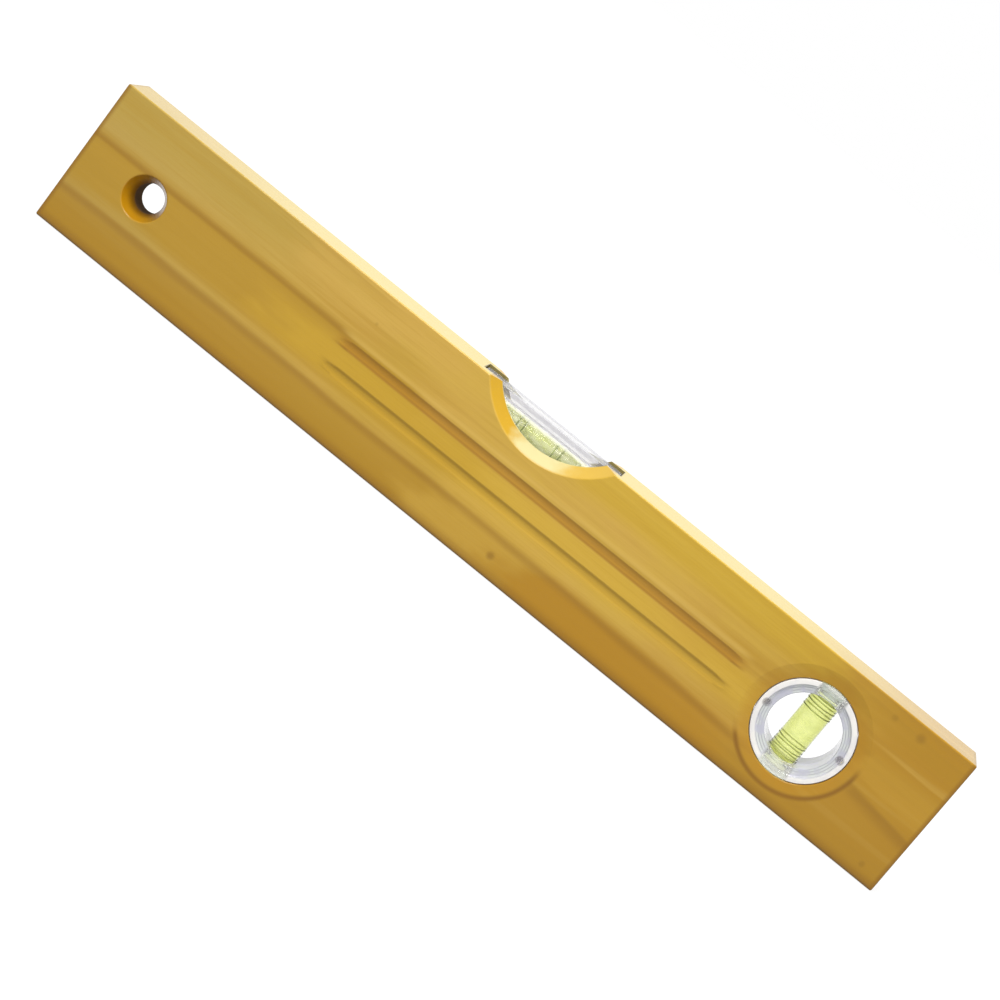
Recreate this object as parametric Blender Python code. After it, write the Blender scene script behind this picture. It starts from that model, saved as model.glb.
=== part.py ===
"""A 400 mm pine spirit level with a horizontal vial let into its top edge and a plumb vial in a ring.

Frame: X runs along the beam (hang hole at -X, plumb ring at +X), the front face looks along -Y, +Z is up.
The origin is the centre of the beam's bottom face. Lengths are in metres.
"""
import math
from collections import namedtuple

import bmesh
import bpy
from mathutils import Matrix, Vector

MM = 0.001
GAP = 0.3 * MM

# Beam
BEAM_LENGTH = 400 * MM
BEAM_THICKNESS = 24 * MM
BEAM_HEIGHT = 61 * MM
BEAM_EDGE = 0.7 * MM
MID_HEIGHT = BEAM_HEIGHT / 2
FACE = BEAM_THICKNESS / 2
OVERSHOOT = 1 * MM

# Round notch in the top edge, near the beam's middle; it narrows from each face towards the holder
NOTCH_X = 2 * MM
NOTCH_FACE_RADIUS = 36 * MM
NOTCH_INNER_RADIUS = 32 * MM
NOTCH_DEPTH = 15.6 * MM
NOTCH_FLARE_DEPTH = 5.2 * MM

# Hang hole, dished on both faces
HANG_X = -169.9 * MM
HANG_RADIUS = 5.8 * MM
HANG_DISH_RADIUS = 8.9 * MM
HANG_DISH_DEPTH = 7.5 * MM

# Two parallel finger flutes on each face
FLUTE_START = -80 * MM
FLUTE_END = 112 * MM
FLUTE_RUN_OUT = 6 * MM
FLUTE_RADIUS = 5 * MM
FLUTE_AXIS_OUT = 4.5 * MM
FLUTE_TIP_RADIUS = 4.3 * MM
FLUTE_OFFSET = 5.4 * MM

# Plumb ring and its dished seat
RING_X = 143.8 * MM
RING_SEAT_RADIUS = 20 * MM
RING_OUTER = RING_SEAT_RADIUS - GAP
RING_LIP_INNER = 17.4 * MM
RING_WINDOW = 14.3 * MM
RING_FACE = 11 * MM
RING_RECESS = 1 * MM
RING_DISH_RADIUS = 25.5 * MM
RING_DISH_DEPTH = 1 * MM
PIN_CIRCLE = 16.9 * MM
PIN_RADIUS = 1 * MM
PIN_HALF_LENGTH = 8 * MM

# Vials: tube radius and half length, how far a plug goes in, its flange, and the marks from the middle
Vial = namedtuple("Vial", "radius half_length grip flange marks")
LEVEL_VIAL = Vial(5.5 * MM, 21 * MM, 2.8 * MM, 2.7 * MM, (7.2 * MM, 10.05 * MM))
PLUMB_VIAL = Vial(6.2 * MM, 15.9 * MM, 1.6 * MM, 1.1 * MM, (7.2 * MM, 10.05 * MM, 12.75 * MM))
LEVEL_INNER_HALF = LEVEL_VIAL.half_length - LEVEL_VIAL.grip
PLUMB_INNER_HALF = PLUMB_VIAL.half_length - PLUMB_VIAL.grip
BORE_MIDDLE = 4.35 * MM
BORE_END = 4.2 * MM
PLUG_SPIGOT = BORE_END - GAP
LIQUID_RADIUS = BORE_END - GAP
MARK_WIDTH = 0.5 * MM
MARK_DEPTH = 0.3 * MM
MARK_CLEARANCE = 0.2 * MM

# Bubbles: half sizes along the tube, across it, and towards the tube's wall
LEVEL_BUBBLE = (6.5 * MM, 2.4 * MM, 1.3 * MM)
PLUMB_BUBBLE = (1.6 * MM, 2.7 * MM, 1.6 * MM)
LEVEL_BUBBLE_OFF_AXIS = 2.6 * MM
PLUMB_BUBBLE_OFF_AXIS = 2.2 * MM

# Clear holder of the horizontal vial, and its slot in the beam
HOLDER_X = 0.9 * MM
HOLDER_HALF_LENGTH = 32 * MM
HOLDER_HALF_WIDTH = 6.5 * MM
HOLDER_TOP = 60 * MM
HOLDER_BOTTOM = 45 * MM
HOLDER_EDGE = 0.3 * MM
LEVEL_TUBE_Z = HOLDER_BOTTOM + LEVEL_VIAL.radius
CRADLE_RADIUS = LEVEL_VIAL.radius + GAP

RING_SIDES = 48
HOLE_SIDES = 40
TUBE_SIDES = 24
PIN_SIDES = 16

ALONG_X = Matrix.Rotation(math.radians(90), 4, "Y")
ALONG_Y = Matrix.Rotation(math.radians(-90), 4, "X")
ALONG_Z = Matrix.Identity(4)
PULLED_ALONG_X = Matrix(((0, 0, 1, 0), (1, 0, 0, 0), (0, 1, 0, 0), (0, 0, 0, 1)))


def clear_scene():
    for item in list(bpy.data.objects):
        bpy.data.objects.remove(item, do_unlink=True)


def material(name, color, roughness, alpha=1.0):
    made = bpy.data.materials.new(name)
    made.use_nodes = True
    shader = made.node_tree.nodes["Principled BSDF"]
    shader.inputs["Base Color"].default_value = (*color, 1.0)
    shader.inputs["Roughness"].default_value = roughness
    shader.inputs["Metallic"].default_value = 0.0
    shader.inputs["Alpha"].default_value = alpha
    return made


def add_object(name, mesh_builder, location, finish):
    mesh = bpy.data.meshes.new(name)
    bmesh.ops.recalc_face_normals(mesh_builder, faces=mesh_builder.faces[:])
    if mesh_builder.calc_volume(signed=True) < 0:
        bmesh.ops.reverse_faces(mesh_builder, faces=mesh_builder.faces[:])
    mesh_builder.to_mesh(mesh)
    mesh_builder.free()
    mesh.shade_smooth()
    mesh.set_sharp_from_angle(angle=math.radians(30))
    made = bpy.data.objects.new(name, mesh)
    made.location = location
    if finish:
        mesh.materials.append(finish)
    bpy.context.scene.collection.objects.link(made)
    return made


def add_cutter(name, mesh_builder, location):
    cutter = add_object(name, mesh_builder, location, None)
    cutter.hide_render = True
    cutter.display_type = "WIRE"
    return cutter


def cut(target, cutter):
    boolean = target.modifiers.new(cutter.name, "BOOLEAN")
    boolean.operation = "DIFFERENCE"
    boolean.solver = "EXACT"
    boolean.object = cutter


def turned(profile, sides, turn, closed=False):
    """A solid turned about its own Z from (radius, z) points, then turned to its axis by a rotation."""
    builder = bmesh.new()
    points = [builder.verts.new((radius, 0, z)) for radius, z in profile]
    edges = [builder.edges.new(pair) for pair in zip(points, points[1:])]
    if closed:
        edges.append(builder.edges.new((points[-1], points[0])))
    bmesh.ops.spin(
        builder,
        geom=points + edges,
        cent=(0, 0, 0),
        axis=(0, 0, 1),
        angle=2 * math.pi,
        steps=sides,
        use_merge=True,
    )
    bmesh.ops.remove_doubles(builder, verts=builder.verts[:], dist=0.01 * MM)
    builder.transform(turn)
    return builder


def rod(radius, half_length, sides, turn):
    profile = [(0, -half_length), (radius, -half_length), (radius, half_length), (0, half_length)]
    return turned(profile, sides, turn)


def block(low, high, edge=0.0):
    low, high = Vector(low), Vector(high)
    builder = bmesh.new()
    bmesh.ops.create_cube(builder, size=1)
    builder.transform(Matrix.Translation((low + high) / 2) @ Matrix.Diagonal((*(high - low), 1)))
    if edge:
        bmesh.ops.bevel(
            builder, geom=builder.edges[:], offset=edge, segments=2, profile=0.5, affect="EDGES"
        )
    return builder


def prism(outline, half_length, turn):
    """An outline in XY, pulled along Z to both sides, then turned to its axis."""
    builder = bmesh.new()
    face = builder.faces.new([builder.verts.new((x, y, -half_length)) for x, y in outline])
    pulled = bmesh.ops.extrude_face_region(builder, geom=[face])
    moved = [item for item in pulled["geom"] if isinstance(item, bmesh.types.BMVert)]
    bmesh.ops.translate(builder, verts=moved, vec=(0, 0, 2 * half_length))
    builder.transform(turn)
    return builder


def arc(radius, start, end, steps):
    """Points of an arc about the origin, angles in degrees."""
    angles = [math.radians(start + (end - start) * step / steps) for step in range(steps + 1)]
    return [(radius * math.cos(angle), radius * math.sin(angle)) for angle in angles]


def slot_cutter():
    half_length = HOLDER_HALF_LENGTH + GAP
    half_width = HOLDER_HALF_WIDTH + GAP
    low = (HOLDER_X - half_length, -half_width, HOLDER_BOTTOM - GAP)
    high = (HOLDER_X + half_length, half_width, BEAM_HEIGHT + OVERSHOOT)
    return add_cutter("vial_slot_cutter", block(low, high), (0, 0, 0))


def dished_cutter(name, x, z, bore, dish, depth, sides):
    """A bore along Y that opens out into a cone at both faces."""
    flare = (dish - bore) / depth
    outer = dish + flare * OVERSHOOT
    profile = [
        (0, -FACE - OVERSHOOT),
        (outer, -FACE - OVERSHOOT),
        (bore, -FACE + depth),
        (bore, FACE - depth),
        (outer, FACE + OVERSHOOT),
        (0, FACE + OVERSHOOT),
    ]
    return add_cutter(name, turned(profile, sides, ALONG_Y), (x, 0, z))


def flute_cutter(name, face_side, height_offset):
    """A rod that lies mostly outside the face and runs out of the wood at both ends."""
    half = (FLUTE_END - FLUTE_START) / 2
    profile = [
        (0, -half),
        (FLUTE_TIP_RADIUS, -half),
        (FLUTE_RADIUS, -half + FLUTE_RUN_OUT),
        (FLUTE_RADIUS, half - FLUTE_RUN_OUT),
        (FLUTE_TIP_RADIUS, half),
        (0, half),
    ]
    middle = (FLUTE_START + FLUTE_END) / 2
    place = (middle, face_side * (FACE + FLUTE_AXIS_OUT), MID_HEIGHT + height_offset)
    return add_cutter(name, turned(profile, TUBE_SIDES, ALONG_X), place)


def make_beam(finish):
    low = (-BEAM_LENGTH / 2, -FACE, 0)
    high = (BEAM_LENGTH / 2, FACE, BEAM_HEIGHT)
    beam = add_object("beam", block(low, high, BEAM_EDGE), (0, 0, 0), finish)
    notch_z = BEAM_HEIGHT - NOTCH_DEPTH + NOTCH_FACE_RADIUS
    bores = (
        ("notch", NOTCH_X, notch_z, NOTCH_INNER_RADIUS, NOTCH_FACE_RADIUS, NOTCH_FLARE_DEPTH, 2 * RING_SIDES),
        ("hang_hole", HANG_X, MID_HEIGHT, HANG_RADIUS, HANG_DISH_RADIUS, HANG_DISH_DEPTH, HOLE_SIDES),
        ("ring_seat", RING_X, MID_HEIGHT, RING_SEAT_RADIUS, RING_DISH_RADIUS, RING_DISH_DEPTH, RING_SIDES),
    )
    for bore_name, *shape in bores:
        cut(beam, dished_cutter(f"{bore_name}_cutter", *shape))
    cut(beam, slot_cutter())
    for face_name, face_side in (("front", -1), ("back", 1)):
        for height_name, height_offset in (("upper", FLUTE_OFFSET), ("lower", -FLUTE_OFFSET)):
            name = f"{face_name}_{height_name}_flute_cutter"
            cut(beam, flute_cutter(name, face_side, height_offset))


def mark_offsets(vial):
    """Places of the marks along the vial, from one end to the other."""
    return sorted(side * mark for mark in vial.marks for side in (-1, 1))


def make_tube(name, vial, place, turn, finish):
    """A vial tube: barrel-shaped bore, so that the bubble seeks the middle, and a groove for each mark."""
    floor = vial.radius - MARK_DEPTH - MARK_CLEARANCE
    groove = MARK_WIDTH / 2 + MARK_CLEARANCE
    outside = [(vial.radius, -vial.half_length)]
    for mark in mark_offsets(vial):
        outside += [
            (vial.radius, mark - groove),
            (floor, mark - groove),
            (floor, mark + groove),
            (vial.radius, mark + groove),
        ]
    outside.append((vial.radius, vial.half_length))
    bore = [
        (BORE_MIDDLE - (BORE_MIDDLE - BORE_END) * share * share, vial.half_length * share)
        for share in (1, 0.5, 0, -0.5, -1)
    ]
    add_object(name, turned(outside + bore, TUBE_SIDES, turn, closed=True), place, finish)


def make_marks(prefix, names, vial, place, turn, finish):
    """Inked rings, each in its own groove of the tube."""
    axis = (turn @ Vector((0, 0, 1))).normalized()
    inner = vial.radius - MARK_DEPTH
    half = MARK_WIDTH / 2
    for mark_name, offset in zip(names, mark_offsets(vial)):
        profile = [(inner, -half), (vial.radius, -half), (vial.radius, half), (inner, half)]
        ring = turned(profile, TUBE_SIDES, turn, closed=True)
        add_object(f"{prefix}_{mark_name}", ring, Vector(place) + axis * offset, finish)


def make_plug(name, vial, place, side, turn, finish):
    """A stepped plug: a spigot in the tube's bore and a flange over the tube's end."""
    flange_start = vial.half_length + GAP
    profile = [
        (0, side * (vial.half_length - vial.grip)),
        (PLUG_SPIGOT, side * (vial.half_length - vial.grip)),
        (PLUG_SPIGOT, side * flange_start),
        (vial.radius, side * flange_start),
        (vial.radius, side * (flange_start + vial.flange)),
        (0, side * (flange_start + vial.flange)),
    ]
    add_object(name, turned(profile, TUBE_SIDES, turn), place, finish)


def liquid_outline(flat):
    """A circle with the side under the bubble's path cut flat, at a distance from the axis."""
    lift = math.degrees(math.asin(flat / LIQUID_RADIUS))
    return arc(LIQUID_RADIUS, 180 - lift, 360 + lift, TUBE_SIDES)


def bubble_shape(half_sizes, turn):
    builder = bmesh.new()
    bmesh.ops.create_uvsphere(builder, u_segments=TUBE_SIDES, v_segments=PIN_SIDES, radius=1)
    builder.transform(turn @ Matrix.Diagonal((half_sizes[1], half_sizes[2], half_sizes[0], 1)))
    return builder


def make_holder(finish):
    """The clear block in the beam's slot; its arched cradle is open below, where the tube goes in."""
    low = (HOLDER_X - HOLDER_HALF_LENGTH, -HOLDER_HALF_WIDTH, HOLDER_BOTTOM)
    high = (HOLDER_X + HOLDER_HALF_LENGTH, HOLDER_HALF_WIDTH, HOLDER_TOP)
    holder = add_object("horizontal_vial_holder", block(low, high, HOLDER_EDGE), (0, 0, 0), finish)
    below = -LEVEL_VIAL.radius - OVERSHOOT
    outline = arc(CRADLE_RADIUS, 0, 180, TUBE_SIDES // 2)
    outline += [(-CRADLE_RADIUS, below), (CRADLE_RADIUS, below)]
    half_length = LEVEL_VIAL.half_length + LEVEL_VIAL.flange + 2 * GAP
    shape = prism(outline, half_length, PULLED_ALONG_X)
    cut(holder, add_cutter("holder_cradle_cutter", shape, (HOLDER_X, 0, LEVEL_TUBE_Z)))


def make_level_vial(clear, liquid, air, ink, plug):
    place = Vector((HOLDER_X, 0, LEVEL_TUBE_Z))
    make_tube("horizontal_vial_tube", LEVEL_VIAL, place, ALONG_X, clear)
    names = ("left_outer_mark", "left_inner_mark", "right_inner_mark", "right_outer_mark")
    make_marks("horizontal_vial", names, LEVEL_VIAL, place, ALONG_X, ink)
    for name, side in (("left", -1), ("right", 1)):
        make_plug(f"horizontal_vial_{name}_plug", LEVEL_VIAL, place, side, ALONG_X, plug)
    flat = LEVEL_BUBBLE_OFF_AXIS - LEVEL_BUBBLE[2] - GAP
    fill = prism(liquid_outline(flat), LEVEL_INNER_HALF - GAP, PULLED_ALONG_X)
    add_object("horizontal_vial_liquid", fill, place, liquid)
    bubble_place = place + Vector((0, 0, LEVEL_BUBBLE_OFF_AXIS))
    shape = bubble_shape(LEVEL_BUBBLE, PULLED_ALONG_X)
    add_object("horizontal_vial_bubble", shape, bubble_place, air)


def ring_half(name, side, finish):
    """Half of the plumb ring, from its joint plane to a face with a raised outer lip."""
    joint = side * GAP / 2
    face = side * RING_FACE
    recess = side * (RING_FACE - RING_RECESS)
    profile = [
        (RING_WINDOW, joint),
        (RING_OUTER, joint),
        (RING_OUTER, face),
        (RING_LIP_INNER, face),
        (RING_LIP_INNER, recess),
        (RING_WINDOW, recess),
    ]
    shape = turned(profile, RING_SIDES, ALONG_Y, closed=True)
    return add_object(name, shape, (RING_X, 0, MID_HEIGHT), finish)


def make_ring(clear, pin):
    place = Vector((RING_X, 0, MID_HEIGHT))
    pocket_half = PLUMB_VIAL.half_length + PLUMB_VIAL.flange + 2 * GAP
    pocket_shape = rod(PLUMB_VIAL.radius + GAP, pocket_half, TUBE_SIDES, ALONG_Z)
    pocket = add_cutter("ring_vial_pocket_cutter", pocket_shape, place)
    holes = []
    for name, side in (("left", -1), ("right", 1)):
        pin_place = place + Vector((side * PIN_CIRCLE, 0, 0))
        shape = rod(PIN_RADIUS, PIN_HALF_LENGTH, PIN_SIDES, ALONG_Y)
        add_object(f"plumb_ring_{name}_pin", shape, pin_place, pin)
        hole = rod(PIN_RADIUS + GAP, PIN_HALF_LENGTH + GAP, PIN_SIDES, ALONG_Y)
        holes.append(add_cutter(f"ring_{name}_pin_hole_cutter", hole, pin_place))
    for name, side in (("plumb_ring_front", -1), ("plumb_ring_back", 1)):
        half = ring_half(name, side, clear)
        for cutter in (pocket, *holes):
            cut(half, cutter)


def make_plumb_vial(clear, liquid, air, ink, plug):
    place = Vector((RING_X, 0, MID_HEIGHT))
    make_tube("plumb_vial_tube", PLUMB_VIAL, place, ALONG_Z, clear)
    names = [f"lower_{rank}_mark" for rank in ("end", "outer", "inner")]
    names += [f"upper_{rank}_mark" for rank in ("inner", "outer", "end")]
    make_marks("plumb_vial", names, PLUMB_VIAL, place, ALONG_Z, ink)
    for name, side in (("lower", -1), ("upper", 1)):
        make_plug(f"plumb_vial_{name}_plug", PLUMB_VIAL, place, side, ALONG_Z, plug)
    flat = PLUMB_BUBBLE_OFF_AXIS - PLUMB_BUBBLE[2] - GAP
    flat_to_right = Matrix.Rotation(math.radians(-90), 4, "Z")
    fill = prism(liquid_outline(flat), PLUMB_INNER_HALF - GAP, flat_to_right)
    add_object("plumb_vial_liquid", fill, place, liquid)
    rise = PLUMB_INNER_HALF - GAP - PLUMB_BUBBLE[0]
    bubble_place = place + Vector((PLUMB_BUBBLE_OFF_AXIS, 0, rise))
    shape = bubble_shape(PLUMB_BUBBLE, flat_to_right)
    add_object("plumb_vial_bubble", shape, bubble_place, air)


def build():
    clear_scene()
    pine = material("varnished_pine", (0.56, 0.33, 0.08), 0.4)
    clear = material("clear_acrylic", (0.93, 0.94, 0.97), 0.05, 0.35)
    liquid = material("vial_liquid", (0.80, 0.88, 0.12), 0.05, 0.7)
    air = material("vial_air", (0.95, 0.97, 0.85), 0.02, 0.35)
    ink = material("mark_ink", (0.05, 0.07, 0.02), 0.5)
    plug = material("plug_plastic", (0.70, 0.78, 0.70), 0.3)
    pin = material("pin_plastic", (0.42, 0.38, 0.36), 0.4)
    make_beam(pine)
    make_holder(clear)
    make_level_vial(clear, liquid, air, ink, plug)
    make_ring(clear, pin)
    make_plumb_vial(clear, liquid, air, ink, plug)


build()
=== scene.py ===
"""The finished look of the pine spirit level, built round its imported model.

Frame: X runs along the beam (hang hole at -X, plumb ring at +X), the front face looks along -Y, +Z is up.
Lengths are in metres; inside the materials they are in millimetres of object space.
"""
import math
from collections import namedtuple

import bmesh
import bpy
from mathutils import Matrix, Vector


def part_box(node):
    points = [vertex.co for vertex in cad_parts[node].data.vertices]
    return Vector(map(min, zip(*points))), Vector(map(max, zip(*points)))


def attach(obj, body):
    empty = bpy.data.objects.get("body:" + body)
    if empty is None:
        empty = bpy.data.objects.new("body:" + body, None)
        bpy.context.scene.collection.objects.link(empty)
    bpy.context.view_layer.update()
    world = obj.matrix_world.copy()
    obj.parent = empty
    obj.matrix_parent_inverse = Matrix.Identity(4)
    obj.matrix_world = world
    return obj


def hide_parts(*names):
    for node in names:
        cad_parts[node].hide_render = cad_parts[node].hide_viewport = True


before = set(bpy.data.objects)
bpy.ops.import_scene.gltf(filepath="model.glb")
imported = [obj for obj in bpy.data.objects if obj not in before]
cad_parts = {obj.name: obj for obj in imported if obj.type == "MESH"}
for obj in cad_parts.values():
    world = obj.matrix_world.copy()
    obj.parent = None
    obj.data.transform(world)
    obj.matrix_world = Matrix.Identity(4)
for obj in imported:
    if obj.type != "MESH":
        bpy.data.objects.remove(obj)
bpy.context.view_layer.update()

MM = 0.001
LEVEL_BODY = "level"

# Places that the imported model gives
BEAM_LOW, BEAM_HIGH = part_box("beam")
FACE = BEAM_HIGH.y
BEAM_TOP = BEAM_HIGH.z
MID_HEIGHT = (BEAM_LOW.z + BEAM_HIGH.z) / 2
HOLDER_LOW, HOLDER_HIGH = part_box("horizontal_vial_holder")
LEVEL_TUBE_LOW, LEVEL_TUBE_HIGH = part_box("horizontal_vial_tube")
PLUMB_TUBE_LOW, PLUMB_TUBE_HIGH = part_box("plumb_vial_tube")
RING_LOW, RING_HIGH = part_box("plumb_ring_front")
RING_CENTRE = (RING_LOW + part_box("plumb_ring_back")[1]) / 2
RING_OUTER = (RING_HIGH.x - RING_LOW.x) / 2

# Beam
BEAM_EDGE = 0.7 * MM
OVERSHOOT = 2 * MM
NOTCH_X = 2 * MM
NOTCH_FACE_RADIUS = 36 * MM
NOTCH_INNER_RADIUS = 32 * MM
NOTCH_DEPTH = 15.6 * MM
NOTCH_FLARE_DEPTH = 5.2 * MM
NOTCH_LIP = 0.7 * MM
HANG_X = -169.9 * MM
HANG_RADIUS = 5.8 * MM
HANG_DISH_RADIUS = 8.9 * MM
HANG_DISH_DEPTH = 7.5 * MM
HANG_LIP = 0.9 * MM
SEAT_RADIUS = 20 * MM
SEAT_DISH_RADIUS = 25.5 * MM
SEAT_DISH_DEPTH = 1 * MM
SEAT_LIP = 0.5 * MM
FLUTE_START = -80 * MM
FLUTE_END = 112 * MM
FLUTE_RUN_OUT = 9 * MM
FLUTE_RADIUS = 5 * MM
FLUTE_AXIS_OUT = 4.5 * MM
FLUTE_TIP_RADIUS = 4.51 * MM
FLUTE_OFFSET = 5.4 * MM
FLUTE_STEPS = 10
FLUTE_SIDES = 48
SLOT_GAP = 0.3 * MM
SLOT_EDGE = 0.2 * MM

# Vials; ends are the names of the low and the high end
Vial = namedtuple("Vial", "kind centre radius half_length grip flange marks ends turn")
ALONG_X = Matrix.Rotation(math.radians(90), 4, "Y")
ALONG_Y = Matrix.Rotation(math.radians(-90), 4, "X")
ALONG_Z = Matrix.Identity(4)
LEVEL_VIAL = Vial(
    kind="horizontal",
    centre=(LEVEL_TUBE_LOW + LEVEL_TUBE_HIGH) / 2,
    radius=(LEVEL_TUBE_HIGH.z - LEVEL_TUBE_LOW.z) / 2,
    half_length=(LEVEL_TUBE_HIGH.x - LEVEL_TUBE_LOW.x) / 2,
    grip=2.8 * MM,
    flange=2.7 * MM,
    marks=(7.2 * MM, 10.05 * MM),
    ends=("left", "right"),
    turn=ALONG_X,
)
PLUMB_VIAL = Vial(
    kind="plumb",
    centre=RING_CENTRE,
    radius=(PLUMB_TUBE_HIGH.x - PLUMB_TUBE_LOW.x) / 2,
    half_length=(PLUMB_TUBE_HIGH.z - PLUMB_TUBE_LOW.z) / 2,
    grip=1.6 * MM,
    flange=1.1 * MM,
    marks=(7.2 * MM, 10.05 * MM, 12.75 * MM),
    ends=("lower", "upper"),
    turn=ALONG_Z,
)
MARK_RANKS = ("inner", "outer", "end")
BORE_MIDDLE = 4.35 * MM
BORE_END = 4.2 * MM
LIQUID_OVERLAP = 0.05 * MM
MARK_WIDTH = 0.5 * MM
MARK_DEPTH = 0.3 * MM
MARK_CLEARANCE = 0.02 * MM
MARK_EDGE = 0.08 * MM
TUBE_EDGE = 0.25 * MM
PLUG_EDGE = 0.5 * MM
PLUG_INNER_EDGE = 0.2 * MM
SPIGOT_EDGE = 0.4 * MM
HOLDER_EDGE = 0.35 * MM
MOUTH_EDGE = 0.01 * MM
PART_GAP = 0.3 * MM
CRADLE_RADIUS = LEVEL_VIAL.radius + PART_GAP
LEVEL_BUBBLE_HALF = (5.9 * MM, 3.2 * MM, 1.6 * MM)
LEVEL_BUBBLE_RISE = 2.55 * MM
PLUMB_BUBBLE_HALF = (3.8 * MM, 3.8 * MM, 1.25 * MM)
BUBBLE_CLEARANCE = 0.12 * MM

# Plumb ring
RING_LIP_INNER = 17.4 * MM
RING_WINDOW = 14.3 * MM
RING_RECESS = 1 * MM
RING_EDGE = 0.35 * MM
RING_JOINT = 0.15 * MM
PIN_CIRCLE = 16.9 * MM
PIN_RADIUS = 1 * MM
PIN_HALF_LENGTH = 8 * MM
PIN_EDGE = 0.25 * MM

ROUND_SIDES = 160
VIAL_SIDES = 72
PIN_SIDES = 32
ARC_STEPS = 5
SHARP_ANGLE = math.radians(38)

# Heights of the surfaces' relief, in metres
WOOD_RELIEF = 0.00006
RING_RELIEF = 0.00004
MOULD_RELIEF = 0.00002


# ---------------------------------------------------------------- outlines and solids


def rounded(corners, steps=ARC_STEPS):
    """The closed outline through (across, along, radius) corners, each with an arc of that radius."""
    outline = []
    for index, (across, along, radius) in enumerate(corners):
        corner = Vector((across, along))
        before = Vector(corners[index - 1][:2]) - corner
        after = Vector(corners[(index + 1) % len(corners)][:2]) - corner
        if radius == 0:
            outline.append(corner)
            continue
        half_angle = before.angle(after) / 2
        reach = min(radius / math.tan(half_angle), 0.49 * before.length, 0.49 * after.length)
        radius = reach * math.tan(half_angle)
        before.normalize()
        after.normalize()
        centre = corner + (before + after).normalized() * (radius / math.sin(half_angle))
        start = corner + before * reach - centre
        end = corner + after * reach - centre
        sweep = start.angle(end)
        for step in range(steps + 1):
            share = step / steps
            weight = math.sin(sweep)
            first = start * (math.sin((1 - share) * sweep) / weight)
            second = end * (math.sin(share * sweep) / weight)
            outline.append(centre + first + second)
    return [(point.x, point.y) for point in outline]


def turned(outline, sides, turn=ALONG_Z):
    """A solid from a closed outline of (radius, along) points, turned round its axis."""
    builder = bmesh.new()
    rings = []
    for radius, along in outline:
        if radius < 1e-7:
            rings.append([builder.verts.new((0, 0, along))] * sides)
            continue
        angles = [2 * math.pi * side / sides for side in range(sides)]
        rings.append(
            [builder.verts.new((radius * math.cos(a), radius * math.sin(a), along)) for a in angles]
        )
    for first, second in zip(rings, rings[1:] + rings[:1]):
        for side in range(sides):
            after = (side + 1) % sides
            corners = dict.fromkeys((first[side], first[after], second[after], second[side]))
            if len(corners) > 2:
                builder.faces.new(corners)
    builder.transform(turn)
    return builder


def rounded_block(low, high, edge, steps=4):
    low, high = Vector(low), Vector(high)
    builder = bmesh.new()
    bmesh.ops.create_cube(builder, size=1)
    builder.transform(Matrix.Translation((low + high) / 2) @ Matrix.Diagonal((*(high - low), 1)))
    bmesh.ops.bevel(
        builder, geom=builder.edges[:], offset=edge, segments=steps, profile=0.5, affect="EDGES"
    )
    return builder


def add_mesh(name, builder, place=(0, 0, 0)):
    """A new object at the frame's origin, with its place in its mesh and its faces pointing out."""
    builder.transform(Matrix.Translation(place))
    bmesh.ops.recalc_face_normals(builder, faces=builder.faces[:])
    if builder.calc_volume(signed=True) < 0:
        bmesh.ops.reverse_faces(builder, faces=builder.faces[:])
    mesh = bpy.data.meshes.new(name)
    builder.to_mesh(mesh)
    builder.free()
    made = bpy.data.objects.new(name, mesh)
    bpy.context.scene.collection.objects.link(made)
    return made


def carve(target, cutters):
    """Cuts the cutters out of the target's mesh for good and removes them."""
    for cutter in cutters:
        boolean = target.modifiers.new(cutter.name, "BOOLEAN")
        boolean.operation = "DIFFERENCE"
        boolean.solver = "EXACT"
        boolean.object = cutter
    evaluated = target.evaluated_get(bpy.context.evaluated_depsgraph_get())
    carved = bpy.data.meshes.new_from_object(evaluated)
    target.modifiers.clear()
    target.data = carved
    for cutter in cutters:
        bpy.data.objects.remove(cutter, do_unlink=True)


def finish_piece(piece, node, body, finish):
    """Shades a piece, gives it its material, hangs it on its body's empty and hides the imported part that
    it stands for.
    """
    piece.data.materials.clear()
    piece.data.materials.append(finish)
    piece.data.shade_smooth()
    piece.data.set_sharp_from_angle(angle=SHARP_ANGLE)
    weighted = piece.modifiers.new("weighted_normals", "WEIGHTED_NORMAL")
    weighted.keep_sharp = True
    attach(piece, body)
    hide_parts(node)


# ---------------------------------------------------------------- material building


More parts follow.
